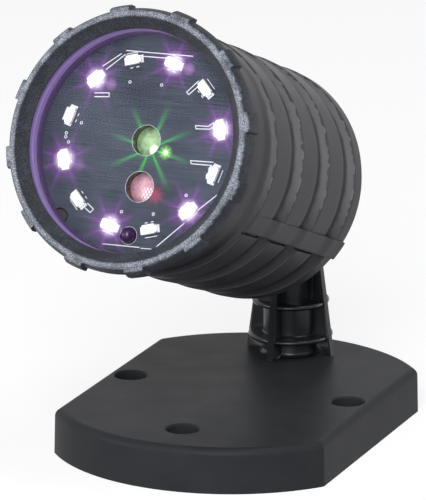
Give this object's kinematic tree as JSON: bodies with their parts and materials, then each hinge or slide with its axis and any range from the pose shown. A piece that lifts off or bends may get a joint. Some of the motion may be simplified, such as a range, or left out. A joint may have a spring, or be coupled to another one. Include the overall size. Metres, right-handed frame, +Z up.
{
  "type": "outdoor laser light projector",
  "caption": "Outdoor laser light projector: a ridged round head with a ring of lights and laser windows, tilting on a ribbed neck over a screw-down base plate.",
  "frame": {"origin": "middle of the base plate's underside, between its side screw holes", "axes": "+Z up; the head looks along -Y, towards the base plate's front screw hole; +X is to its left"},
  "size_m": [0.1028, 0.158, 0.1595],
  "materials": {
    "base_plastic": "satin moulded",
    "housing_plastic": "satin moulded",
    "bezel_plastic": "finely textured",
    "lens_glass": "clear",
    "pale_gasket": "soft",
    "black_rubber": "matt",
    "board_lacquer": "lacquered",
    "led_body": "moulded",
    "sensor_body": "clear dark dome",
    "green_grating": "clear tinted",
    "red_grating": "clear tinted",
    "brass": "turned",
    "aluminium": "cast",
    "zinc_steel": "plated"
  },
  "bodies": {
    "base": {"base_plate": "base_plastic", "neck_post": "base_plastic", "neck_screw": "zinc_steel", "neck_washer": "zinc_steel", "pan_screw": "zinc_steel", "pan_washer": "zinc_steel"},
    "fork": {"swivel_yoke": "base_plastic", "hinge_bolt": "zinc_steel", "bolt_washer": "zinc_steel", "knob_washer": "zinc_steel"},
    "knob": {"clamp_knob": "base_plastic", "knob_insert": "brass"},
    "head": {"barrel_housing": "housing_plastic", "bezel_ring": "bezel_plastic", "board_clamp_ring": "housing_plastic", "cable_gland": "black_rubber", "cap_gasket": "black_rubber", "cap_screw_1": "zinc_steel", "cap_screw_2": "zinc_steel", "cap_screw_3": "zinc_steel", "cap_screw_4": "zinc_steel", "carrier_screw_1": "zinc_steel", "carrier_screw_2": "zinc_steel", "carrier_screw_3": "zinc_steel", "driver_board": "board_lacquer", "driver_capacitor": "housing_plastic", "driver_coil": "zinc_steel", "driver_pillar_1": "brass", "driver_pillar_2": "brass", "driver_pillar_3": "brass", "driver_screw_1": "zinc_steel", "driver_screw_2": "zinc_steel", "driver_screw_3": "zinc_steel", "front_lens": "lens_glass", "gland_nut": "housing_plastic", "green_grating": "green_grating", "green_laser_module": "brass", "laser_carrier": "aluminium", "led_01": "led_body", "led_02": "led_body", "led_03": "led_body", "led_04": "led_body", "led_05": "led_body", "led_06": "led_body", "led_07": "led_body", "led_08": "led_body", "led_09": "led_body", "led_10": "led_body", "led_11": "led_body", "led_12": "led_body", "led_board": "board_lacquer", "lens_gasket": "pale_gasket", "light_sensor": "sensor_body", "rear_cap": "housing_plastic", "red_grating": "red_grating", "red_laser_module": "brass"}
  },
  "joints": [
    {"name": "pan", "type": "hinge", "parent": "base", "child": "fork", "pos_m": [0, 0.048, 0.056], "axis": [0, 0, 1], "continuous": true},
    {"name": "tilt", "type": "hinge", "parent": "fork", "child": "head", "pos_m": [0, 0.048, 0.0715], "axis": [-0.9966, 0.0828, 0], "range_deg": [-21.6, 68.4]},
    {"name": "knob_turn", "type": "hinge", "parent": "fork", "child": "knob", "pos_m": [0, 0.048, 0.0715], "axis": [-0.9966, 0.0828, 0], "range_deg": [0, 180]}
  ]
}
